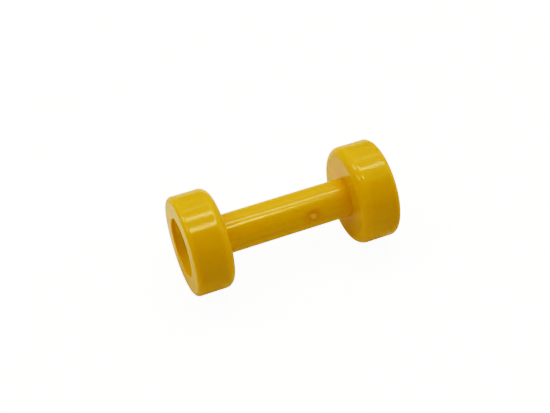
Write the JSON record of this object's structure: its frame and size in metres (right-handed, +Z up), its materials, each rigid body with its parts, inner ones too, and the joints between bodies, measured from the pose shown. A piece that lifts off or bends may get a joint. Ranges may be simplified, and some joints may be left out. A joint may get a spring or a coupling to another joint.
{
  "type": "dogbone link",
  "caption": "Dumbbell-shaped plastic link: a slim round shaft joining two thick round cup ends, each with a round blind socket facing outwards.",
  "frame": {"origin": "middle of the shaft, on its axis, which is also the centre of the bounding box", "axes": "+X along the shaft, from the left end towards the right end; +Z up, with the link lying on its side on the two ends; -Y towards the side of the shaft with the gate well"},
  "size_m": [0.0508, 0.024, 0.024],
  "materials": {
    "shaft_plastic": "moulded gloss, golden yellow, slightly translucent",
    "end_plastic": "moulded gloss, golden yellow, slightly translucent"
  },
  "bodies": {
    "root": {"shaft": "shaft_plastic", "left_end": "end_plastic", "right_end": "end_plastic"}
  },
  "joints": []
}
